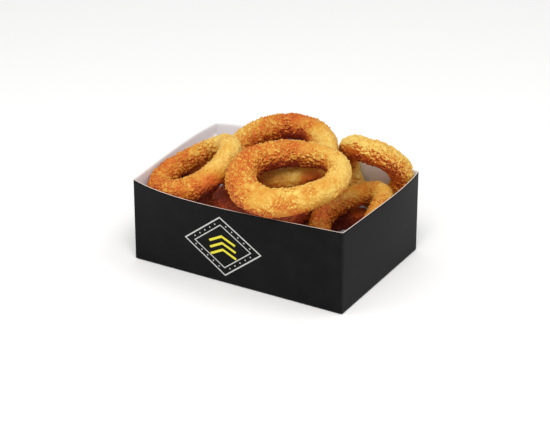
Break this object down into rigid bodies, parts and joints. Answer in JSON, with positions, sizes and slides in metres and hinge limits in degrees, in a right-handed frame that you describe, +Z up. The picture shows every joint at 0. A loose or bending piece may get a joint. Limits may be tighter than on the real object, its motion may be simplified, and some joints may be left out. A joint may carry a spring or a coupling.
{
  "type": "onion rings side",
  "caption": "Breaded onion rings of uneven size heaped in a low folded paperboard tray with bowed walls; every ring is a separate body with an open hole.",
  "frame": {"origin": "middle of the tray's underside, measured between its straight bottom folds", "axes": "+Z up, +X along the tray's long walls; -Y is the printed long wall"},
  "size_m": [0.1448, 0.1144, 0.0799],
  "materials": {
    "tray_board": "satin",
    "crust": "matte"
  },
  "bodies": {
    "root": {"tray": "tray_board", "ring_top_front": "crust", "ring_top_back": "crust", "ring_left": "crust", "ring_standing": "crust", "ring_right": "crust", "ring_middle": "crust", "ring_inner_front": "crust", "ring_inner_back": "crust", "ring_inner_middle": "crust", "ring_base_left": "crust", "ring_base_right": "crust"}
  },
  "joints": []
}
